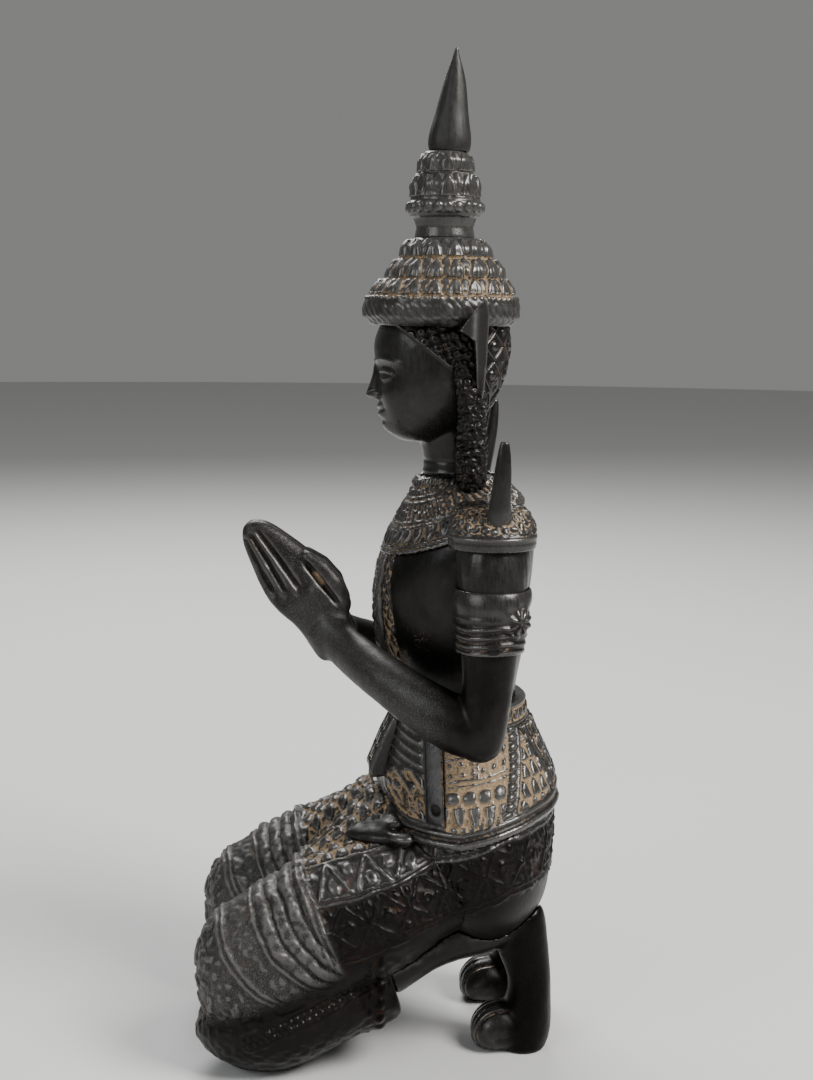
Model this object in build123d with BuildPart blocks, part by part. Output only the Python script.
"""Kneeling worshipper, a black-patinated brass statue with joined palms and a tiered spire crown.

Millimetres. +Z is up, the figure faces -Y, its left side is +X, and the origin is the middle of the
footprint at table level. Hollow castings keep their fired clay cores. Separately cast pieces meet face
to face, on spigots where they stand proud, and are brazed.
"""

import os

from build123d import *

# ---- driving dimensions -------------------------------------------------------------------------
HEIGHT = 300.0
WALL = 3.6  # thickness of the hollow castings
RELIEF = 1.4  # thickness of the collar, bands and armlets
SKIRT_THICK = 1.7
SASH_THICK = 3.3
SPIGOT = 3.0  # radius of the small round spigots
HEAD_SPIGOT = 6.0
NECK_SPIGOT = 5.0
SPIGOT_LENGTH = 7.0
PIN = 1.0  # radius of the core pins

CROWN_Y = 19.3  # crown axis
RIM_Z = 219.8  # underside of the crown's rim
COLLAR_Z = 245.4  # foot of the crown's upper section
SPIRE_Z = 270.2  # foot of the spire
WAIST_Z = 104.0
CUFF_Y = 3.4  # end of the trouser leg
SHOULDER_X, SHOULDER_Z = 33.5, 158.0
ELBOW_X = 41.0
KNEE_X = 25.0
TOE_X = 17.0
EAR_FLAME_Y = 25.6
EPAULETTE_Z = 158.2  # rim of the shoulder cap
ARMLET_BOTTOM, ARMLET_TOP = 129.5, 147.0

# level ovals: height, front, back, half width
HEAD = [
    (185.5, 8.0, 22.0, 5.5),
    (187.8, 4.0, 26.0, 9.5),
    (192.5, 1.6, 31.0, 13.2),
    (199.0, 0.2, 35.0, 16.2),
    (207.0, -0.6, 38.0, 17.4),
    (214.0, -0.8, 39.0, 17.4),
    (221.0, 1.2, 38.4, 16.4),
    (227.0, 6.0, 34.0, 11.5),
]
NECK = [
    (170.0, 11.5, 33.0, 11.5),
    (174.0, 13.4, 32.0, 10.0),
    (181.0, 13.6, 31.5, 9.3),
    (189.0, 11.0, 33.0, 9.8),
]
TORSO = [
    (96.5, 9.0, 43.0, 19.5),
    (106.0, 7.5, 43.0, 20.0),
    (118.0, 3.4, 44.3, 22.5),
    (132.0, 0.9, 46.0, 26.5),
    (146.0, 1.6, 47.2, 29.6),
    (157.0, 5.0, 47.4, 30.2),
    (165.0, 9.0, 45.0, 26.5),
    (170.5, 12.0, 40.5, 18.5),
    (175.0, 13.0, 36.0, 11.8),
]
HIPS = [
    (37.0, 16.0, 49.0, 25.0),
    (45.0, 9.0, 52.6, 33.0),
    (55.0, 4.0, 54.6, 38.0),
    (66.0, 2.5, 55.0, 38.5),
    (76.0, 3.0, 54.6, 36.0),
    (86.0, 4.5, 52.0, 31.0),
    (95.0, 6.5, 47.8, 25.6),
    (WAIST_Z, 7.8, 44.0, 21.0),
]
# limb stations: x, y, z of the axis, radius across, radius in the plane of the bend
THIGH = [
    (21.0, 22.0, 57.0, 17.0, 17.0),
    (23.0, 6.0, 51.5, 18.5, 19.0),
    (KNEE_X, -12.0, 44.0, 19.0, 20.5),
    (KNEE_X + 0.5, -28.0, 35.5, 19.0, 20.8),
    (KNEE_X + 0.5, -41.0, 28.8, 17.5, 19.0),
    (KNEE_X, -48.9, 25.4, 12.4, 13.2),
    (KNEE_X, -52.9, 24.6, 4.6, 5.0),
]
SHIN = [
    (KNEE_X, -51.5, 19.0, 5.0, 5.5),
    (KNEE_X, -46.0, 16.4, 13.4, 12.2),
    (KNEE_X, -36.0, 14.3, 16.5, 15.0),
    (KNEE_X - 0.5, -22.0, 17.0, 16.5, 14.2),
    (KNEE_X - 2.0, -8.0, 21.8, 15.0, 12.6),
    (KNEE_X - 3.5, 3.4, 25.8, 13.8, 11.6),
]
CALF = [
    (KNEE_X - 3.0, -3.0, 28.5, 9.5, 9.0),
    (20.5, 10.0, 33.2, 9.5, 9.2),
    (19.0, 24.0, 38.2, 8.6, 8.8),
    (18.0, 36.0, 40.6, 7.6, 8.6),
    (17.6, 44.5, 42.6, 5.6, 5.6),
    (17.4, 49.2, 43.0, 2.0, 2.0),
]
FOOT = [  # level ovals of the upright foot, centred on TOE_X
    (46.5, 43.5, 48.5, 2.5),
    (43.0, 38.0, 51.2, 5.6),
    (35.0, 36.0, 52.4, 6.4),
    (29.5, 37.6, 53.0, 6.6),
    (24.5, 39.6, 53.5, 6.8),
    (18.5, 40.5, 53.8, 7.2),
    (12.5, 38.8, 54.0, 7.8),
    (5.0, 36.8, 53.8, 8.0),
    (-3.0, 37.5, 50.0, 7.4),
]
TOES = [  # y, height, half width, half height
    (46.0, 6.4, 8.0, 7.0),
    (40.0, 6.8, 8.4, 7.3),
    (34.0, 6.2, 8.0, 6.9),
    (30.6, 5.4, 5.6, 4.6),
    (29.4, 5.2, 2.4, 2.0),
]
UPPER_ARM = [  # level ovals centred on their own x: height, x, y, half width, half depth
    (165.5, 31.0, 31.0, 4.0, 5.0),
    (162.0, 32.4, 31.0, 8.4, 9.4),
    (SHOULDER_Z - 4.0, SHOULDER_X + 0.6, 31.0, 10.0, 10.6),
    (145.0, 35.8, 31.0, 9.4, 9.8),
    (131.0, 38.2, 30.2, 8.2, 8.4),
    (119.0, 40.0, 29.6, 7.0, 7.3),
    (108.0, ELBOW_X, 28.3, 6.8, 7.0),
    (101.0, ELBOW_X + 0.2, 27.8, 5.2, 5.7),
    (97.8, ELBOW_X + 0.2, 27.2, 2.2, 2.4),
]
FOREARM = [
    (41.4, 31.5, 102.6, 2.2, 2.2),
    (41.0, 27.5, 104.8, 6.2, 7.0),
    (37.0, 18.5, 108.8, 6.8, 8.4),
    (28.0, 6.0, 115.2, 6.8, 7.3),
    (18.0, -3.5, 120.4, 6.0, 6.8),
    (9.6, -10.5, 124.6, 4.8, 6.6),
    (4.6, -16.5, 129.6, 4.0, 6.0),
]
HAND = [  # along the hand: x, y, z, half thickness, half width
    (5.8, -9.8, 123.0, 4.0, 6.2),
    (3.8, -15.2, 129.6, 4.3, 8.2),
    (2.6, -20.0, 137.0, 4.4, 9.4),
    (2.4, -24.6, 142.6, 4.4, 9.8),
    (2.0, -29.6, 148.8, 3.8, 8.4),
    (1.6, -34.0, 154.4, 3.4, 6.4),
    (1.0, -37.6, 158.6, 2.9, 4.0),
    (0.6, -38.8, 160.2, 1.8, 2.0),
]
EPAULETTE = [  # level ovals: height, x, y, half width, half depth
    (EPAULETTE_Z, 34.0, 30.8, 11.0, 12.4),
    (162.0, 33.8, 30.8, 11.2, 12.6),
    (166.6, 31.0, 30.8, 10.0, 11.6),
    (170.0, 27.0, 30.5, 6.0, 8.0),
]
HORN = [(38.5, 31.5, 160.0), (40.5, 31.8, 168.0), (42.6, 32.2, 178.0), (43.6, 32.6, 189.0)]
HIGH_HORN = [(38.0, 32.5, 160.0), (40.0, 35.6, 170.0), (42.0, 38.8, 183.0), (43.0, 40.6, 195.6)]
HORN_WIDTHS = [(3.6, 5.0), (3.0, 3.4), (2.2, 2.6), (0.9, 1.3)]  # across, fore and aft
WAIST_OVALS = [  # belt
    (101.0, 5.0, 46.6, 24.8),
    (104.5, 4.6, 46.2, 24.0),
    (108.0, 4.8, 45.8, 23.4),
]
# side-view outlines: y, height
HEM = [(-9, 72), (0, 70), (11, 70.3), (23, 70.2), (37, 73.6), (46, 75.5), (58, 76.5)]
SKIRT_FRONT = [(-1, 101), (2.5, 92), (-2, 80)]  # the skirt's front edge at the lap
EAR_FLAME_SIDE = [
    (28.6, 228.2),
    (29.8, 224.0),
    (29.8, 211.0),
    (29.3, 199.0),
    (28.3, 196.0),
    (27.3, 199.0),
    (26.6, 211.0),
    (26.2, 216.0),
    (21.5, 218.7),
    (24.6, 223.2),
]
FRONT_SASH = [
    (8.5, 102),
    (5.6, 101.5),
    (2.4, 95.2),
    (0.1, 89.5),
    (-1.9, 84.5),
    (-1, 82.6),
    (3.5, 83),
    (12, 84),
]
SPIRE = [  # height, y of the axis, radius: the spire leans back a little
    (SPIRE_Z, 20.3, 5.8),
    (273.8, 20.4, 6.3),
    (280.0, 20.8, 5.2),
    (286.5, 21.4, 3.95),
    (293.5, 21.8, 2.3),
    (HEIGHT, 22.1, 0.5),
]
CROWN_CAP = [  # radius, height
    (16.0, RIM_Z),
    (21.0, RIM_Z),
    (23.2, 222.2),
    (23.5, 225.6),
    (22.6, 227.9),
    (20.8, 228.2),
    (20.4, 230.2),
    (18.4, 232.8),
    (16.9, 233.0),
    (16.6, 235.8),
    (14.0, 239.0),
    (13.0, 239.2),
    (12.6, 242.0),
    (9.4, COLLAR_Z),
]
CROWN_UPPER = [
    (9.0, COLLAR_Z),
    (8.4, 248.4),
    (9.4, 251.4),
    (10.8, 252.6),
    (11.0, 255.4),
    (9.7, 256.8),
    (9.6, 260.6),
    (8.4, 263.6),
    (8.0, 264.0),
    (7.9, 267.4),
    (6.2, SPIRE_Z),
]
EAR_STRAND = [
    (16.6, 19.5, 218.0, 2.2, 2.6),
    (17.6, 24.4, 209.0, 2.8, 4.2),
    (17.0, 26.2, 198.0, 3.4, 5.0),
    (14.8, 26.6, 187.0, 4.4, 5.6),
    (13.2, 26.8, 178.0, 4.4, 6.2),
    (12.2, 27.4, 172.0, 3.0, 5.4),
]


# ---- shared ways of making a shape -----------------------------------------------------------------
def level_ovals(sections, grow=0.0, x=0.0):
    """Solid lofted through level ovals, grown outwards by grow."""
    with BuildPart() as body:
        for height, front, back, half_width in sections:
            with BuildSketch(Plane((x, (front + back) / 2, height))):
                Ellipse(half_width + grow, (back - front) / 2 + grow)
        loft()
    return body.part


def limb(stations, grow=0.0):
    """Solid lofted through ovals square to the axis through the stations."""
    axis = [Vector(x, y, z) for x, y, z, _, _ in stations]
    last = len(axis) - 1
    with BuildPart() as body:
        for i, (_, _, _, across, in_plane) in enumerate(stations):
            along = (axis[min(i + 1, last)] - axis[max(i - 1, 0)]).normalized()
            side = Vector(0, 0, 1).cross(along).normalized()
            with BuildSketch(Plane(origin=axis[i], x_dir=side, z_dir=along)):
                Ellipse(across + grow, in_plane + grow)
        loft()
    return body.part


def core_of(sections, lift, drop, wall=WALL):
    """The same level ovals, shrunk by the wall, with the first raised and the last lowered."""
    inner = [list(section) for section in sections]
    inner[0][0] += lift
    inner[-1][0] -= drop
    return level_ovals(inner, grow=-wall)


def round_bar(radius, start, end):
    """Round bar between two points."""
    start, end = Vector(*start), Vector(*end)
    with BuildPart() as bar:
        with BuildSketch(Plane(origin=start, z_dir=end - start)):
            Circle(radius)
        extrude(amount=(end - start).length)
    return bar.part


def level_ovals_off_axis(sections, grow=0.0):
    """Solid lofted through level ovals that each have their own centre."""
    with BuildPart() as body:
        for height, x, y, half_width, half_depth in sections:
            with BuildSketch(Plane((x, y, height))):
                Ellipse(half_width + grow, half_depth + grow)
        loft()
    return body.part


def turned(profile):
    """Solid of revolution about the crown's axis from an outline of (radius, height) points."""
    with BuildPart() as body:
        with BuildSketch(Plane(origin=(0, CROWN_Y, 0), x_dir=(1, 0, 0), z_dir=(0, -1, 0))):
            with BuildLine():
                Polyline([(0, profile[0][1]), *profile, (0, profile[-1][1])], close=True)
            make_face()
        revolve(axis=Axis((0, CROWN_Y, 0), (0, 0, 1)))
    return body.part


def side_prism(outline, half_width):
    """Solid of a side-view outline of (y, height) points, as wide as given on both sides of the middle."""
    with BuildPart() as body:
        with BuildSketch(Plane(origin=(0, 0, 0), x_dir=(0, 1, 0), z_dir=(1, 0, 0))):
            with BuildLine():
                Polyline(outline, close=True)
            make_face()
        extrude(amount=half_width, both=True)
    return body.part


def block(x, y, z):
    """Box between two limits along each axis."""
    with BuildPart() as body:
        with BuildSketch(Plane.XY.offset(z[0])):
            with Locations(((x[0] + x[1]) / 2, (y[0] + y[1]) / 2)):
                Rectangle(x[1] - x[0], y[1] - y[0])
        extrude(amount=z[1] - z[0])
    return body.part


def mirrored(part):
    """The same piece on the figure's other side."""
    return part.mirror(Plane.YZ)


def main_solid(part):
    """The largest solid of a part, without slivers left by a cut."""
    return Part(part.solids().sort_by(SortBy.VOLUME)[-1].wrapped)


def save(name, part):
    """Labels a finished piece and writes it."""
    part.label = name
    os.makedirs("parts", exist_ok=True)
    export_step(part, f"parts/{name}.step")


def save_pair(name, part):
    """Writes a piece of the figure's left side and its mirror image for the right."""
    save(f"left_{name}", part)
    save(f"right_{name}", mirrored(part))


# ---- whole forms that the pieces are cut from --------------------------------------------------------
torso_form = level_ovals(TORSO)
torso_cavity = core_of(TORSO, lift=0.0, drop=WALL)
hips_form = level_ovals(HIPS)
hips_cavity = core_of(HIPS[:-1], lift=WALL, drop=0.0)
head_cavity = core_of(HEAD[1:-1], lift=WALL, drop=2.0)
cap_form = turned(CROWN_CAP)

with BuildPart() as head_form:
    add(level_ovals(HEAD))
    add(level_ovals(NECK))

with BuildPart() as leg_form:
    add(limb(THIGH))
    add(limb(SHIN))
    split(bisect_by=Plane.XY, keep=Keep.TOP)

with BuildPart() as leg_cavity:
    add(limb(THIGH[:-1], grow=-WALL))
    add(limb(SHIN[1:], grow=-WALL))
    split(bisect_by=Plane.XY.offset(WALL), keep=Keep.TOP)
    split(bisect_by=Plane(origin=(0, CUFF_Y - WALL, 0), z_dir=(0, -1, 0)), keep=Keep.TOP)

with BuildPart() as foot_form:
    add(limb(CALF))
    add(level_ovals(FOOT, x=TOE_X))
    for y, z, across, tall in TOES:
        with BuildSketch(Plane(origin=(TOE_X, y, z), x_dir=(1, 0, 0), z_dir=(0, -1, 0))):
            Ellipse(across, tall)
    loft()
    split(bisect_by=Plane.XY, keep=Keep.TOP)

with BuildPart() as arm_form:
    add(level_ovals_off_axis(UPPER_ARM))
    add(limb(FOREARM))
    add(limb(HAND))
    split(bisect_by=Plane.YZ, keep=Keep.TOP)

# spigots, and the pins that hold the clay cores while the metal is poured
head_spigot = round_bar(HEAD_SPIGOT, (0, CROWN_Y, RIM_Z - 1.5), (0, CROWN_Y, RIM_Z + 12))
upper_spigot = round_bar(SPIGOT, (0, CROWN_Y, COLLAR_Z - SPIGOT_LENGTH), (0, CROWN_Y, COLLAR_Z + 1))
spire_spigot = round_bar(SPIGOT, (0, SPIRE[0][1], SPIRE_Z - SPIGOT_LENGTH), (0, SPIRE[0][1], SPIRE_Z + 1))
neck_spigot = round_bar(NECK_SPIGOT, (0, 23, 166), (0, 23, 178))
arm_spigot = round_bar(SPIGOT, (SHOULDER_X - 11.5, 31, SHOULDER_Z - 3), (SHOULDER_X, 31, SHOULDER_Z - 3))
shin_spigot = round_bar(SPIGOT, (KNEE_X - 3.4, CUFF_Y - SPIGOT_LENGTH, 26.5), (KNEE_X - 3.4, CUFF_Y + 1, 29.5))

with BuildPart() as pin_bars:
    add(round_bar(PIN, (0, 30, 205), (0, 45, 205)))
    for height in (114, 140):
        add(round_bar(PIN, (0, 30, height), (0, 52, height)))
    add(round_bar(PIN, (0, 40, 60), (0, 60, 60)))
    for x in (-KNEE_X, KNEE_X):
        add(round_bar(PIN, (x, -24, 45), (x, -24, 65)))
        add(round_bar(PIN, (x, -38, -1), (x, -38, 10)))

# ---- crown -----------------------------------------------------------------------------------------
with BuildPart() as crown_spire:
    for height, y, radius in SPIRE:
        with BuildSketch(Plane((0, y, height))):
            Circle(radius)
    loft()
    add(spire_spigot)

with BuildPart() as crown_upper:
    add(turned(CROWN_UPPER))
    add(upper_spigot)
    add(spire_spigot, mode=Mode.SUBTRACT)

with BuildPart() as crown_cap:
    add(cap_form)
    add(head_form.part, mode=Mode.SUBTRACT)
    add(upper_spigot, mode=Mode.SUBTRACT)
    add(head_spigot)

# ---- head ------------------------------------------------------------------------------------------
with BuildPart() as head_casting:
    add(head_form.part)
    add(head_cavity, mode=Mode.SUBTRACT)
    add(head_spigot, mode=Mode.SUBTRACT)
    add(torso_form, mode=Mode.SUBTRACT)
    add(neck_spigot)

with BuildPart() as head_core:
    add(head_cavity)
    add(head_spigot, mode=Mode.SUBTRACT)

with BuildPart() as ear_flame:
    with BuildSketch(Plane(origin=(0, EAR_FLAME_Y, 0), x_dir=(1, 0, 0), z_dir=(0, -1, 0))):
        with BuildLine():
            Spline((17.0, 197.0), (22.4, 205.0), (24.6, 214.0), (26.6, 221.0), (28.2, 228.0))
            Spline((28.2, 228.0), (24.2, 225.0), (19.6, 219.0), (14.0, 212.0))
            Line((14.0, 212.0), (14.0, 197.0))
            Line((14.0, 197.0), (17.0, 197.0))
        make_face()
    extrude(amount=6, both=True)
    add(side_prism(EAR_FLAME_SIDE, 40), mode=Mode.INTERSECT)
    add(head_form.part, mode=Mode.SUBTRACT)
    add(cap_form, mode=Mode.SUBTRACT)

with BuildPart() as ear_strand:
    add(limb(EAR_STRAND))
    for other in (head_form.part, cap_form, torso_form, ear_flame.part):
        add(other, mode=Mode.SUBTRACT)

# ---- trunk -----------------------------------------------------------------------------------------
with BuildPart() as torso_casting:
    add(torso_form)
    for other in (torso_cavity, neck_spigot, arm_spigot, mirrored(arm_spigot)):
        add(other, mode=Mode.SUBTRACT)

with BuildPart() as torso_core:
    add(torso_cavity)
    for other in (neck_spigot, arm_spigot, mirrored(arm_spigot)):
        add(other, mode=Mode.SUBTRACT)

with BuildPart() as collar:
    add(level_ovals(TORSO, grow=RELIEF))
    split(bisect_by=Plane(origin=(0, 0, 151), z_dir=(0, -18, 47)), keep=Keep.TOP)
    for other in (torso_form, head_form.part, ear_strand.part, mirrored(ear_strand.part)):
        add(other, mode=Mode.SUBTRACT)

with BuildPart() as chest_band:
    add(level_ovals(TORSO, grow=RELIEF))
    add(block((-8, 8), (-5, 20), (108, 160)), mode=Mode.INTERSECT)
    for other in (torso_form, collar.part):
        add(other, mode=Mode.SUBTRACT)

with BuildPart() as hips_casting:
    add(hips_form)
    for other in (hips_cavity, torso_form):
        add(other, mode=Mode.SUBTRACT)

with BuildPart() as hips_core:
    add(hips_cavity)
    add(torso_form, mode=Mode.SUBTRACT)

with BuildPart() as belt:
    add(level_ovals(WAIST_OVALS))
    for other in (torso_form, hips_form):
        add(other, mode=Mode.SUBTRACT)

# ---- legs ------------------------------------------------------------------------------------------
with BuildPart() as leg:
    add(leg_form.part)
    for other in (leg_cavity.part, hips_form, shin_spigot):
        add(other, mode=Mode.SUBTRACT)

with BuildPart() as leg_core:
    add(leg_cavity.part)
    for other in (hips_form, shin_spigot):
        add(other, mode=Mode.SUBTRACT)

with BuildPart() as foot:
    add(foot_form.part)
    for other in (leg_form.part, hips_form):
        add(other, mode=Mode.SUBTRACT)
    add(shin_spigot)

# ---- skirt and sashes ------------------------------------------------------------------------------
lower_body = (hips_form, leg_form.part, mirrored(leg_form.part), belt.part)

with BuildPart() as skirt:
    add(level_ovals(HIPS, grow=SKIRT_THICK))
    add(limb(THIGH, grow=SKIRT_THICK))
    add(mirrored(limb(THIGH, grow=SKIRT_THICK)))
    add(side_prism([*HEM, (58, 101), *SKIRT_FRONT], 60), mode=Mode.INTERSECT)
    for other in (*lower_body, torso_form):
        add(other, mode=Mode.SUBTRACT)

with BuildPart() as front_sash:
    add(side_prism(FRONT_SASH, 7))
    for other in (*lower_body, torso_form, skirt.part):
        add(other, mode=Mode.SUBTRACT)

with BuildPart() as side_sash:
    add(level_ovals(HIPS, grow=SASH_THICK))
    add(block((15, 60), (13.2, 18.4), (76.5, 101.5)), mode=Mode.INTERSECT)
    for other in (*lower_body, torso_form, skirt.part):
        add(other, mode=Mode.SUBTRACT)

with BuildPart() as rear_sash:
    add(level_ovals(HIPS, grow=SASH_THICK - 0.9))
    add(block((-16, 16), (30, 60), (81, 101)), mode=Mode.INTERSECT)
    for other in (*lower_body, torso_form, skirt.part):
        add(other, mode=Mode.SUBTRACT)

# ---- arms ------------------------------------------------------------------------------------------
with BuildPart() as arm:
    add(arm_form.part)
    for other in (torso_form, collar.part):
        add(other, mode=Mode.SUBTRACT)
    add(arm_spigot)

with BuildPart() as armlet:
    add(level_ovals_off_axis(UPPER_ARM, grow=RELIEF - 0.2))
    add(block((20, 60), (10, 50), (ARMLET_BOTTOM, ARMLET_TOP)), mode=Mode.INTERSECT)
    with Locations((42.0, 36.4, 138.6)):
        Sphere(4.6)
    for other in (arm_form.part, torso_form):
        add(other, mode=Mode.SUBTRACT)



def shoulder_cap(horn):
    """Shoulder cap with a horn through the given points."""
    with BuildPart() as body:
        add(level_ovals_off_axis(EPAULETTE))
        for (x, y, z), (across, along) in zip(horn, HORN_WIDTHS):
            with BuildSketch(Plane((x, y, z))):
                Ellipse(across, along)
        loft()
        for other in (arm_form.part, torso_form, collar.part, arm_spigot, ear_strand.part):
            add(other, mode=Mode.SUBTRACT)
    return body.part



# ---- core pins, flush plugs through the walls --------------------------------------------------------
with BuildPart() as core_pins:
    for wall in (head_casting.part, torso_casting.part, hips_casting.part, leg.part, mirrored(leg.part)):
        add(wall)
    add(pin_bars.part, mode=Mode.INTERSECT)


def pinned(part):
    """A hollow casting or its core with the holes of the core pins."""
    with BuildPart() as body:
        add(part)
        add(core_pins.part, mode=Mode.SUBTRACT)
    return body.part


single = {
    "left_epaulette": shoulder_cap(HORN),
    "right_epaulette": mirrored(shoulder_cap(HIGH_HORN)),
    "crown_spire": crown_spire.part,
    "crown_upper_tiers": crown_upper.part,
    "crown_cap": crown_cap.part,
    "head": pinned(head_casting.part),
    "head_core": head_core.part,
    "collar": collar.part,
    "chest_band": chest_band.part,
    "torso": pinned(torso_casting.part),
    "torso_core": torso_core.part,
    "belt": belt.part,
    "hips": pinned(hips_casting.part),
    "hips_core": hips_core.part,
    "skirt": skirt.part,
    "front_sash": front_sash.part,
    "rear_sash": rear_sash.part,
}
paired = {
    "ear_flame": ear_flame.part,
    "ear_strand": ear_strand.part,
    "arm": arm.part,
    "armlet": armlet.part,
    "side_sash": side_sash.part,
    "leg": pinned(leg.part),
    "leg_core": leg_core.part,
    "foot": foot.part,
}
for name, part in single.items():
    save(name, main_solid(part))
for name, part in paired.items():
    save_pair(name, main_solid(part))
save("core_pins", core_pins.part)
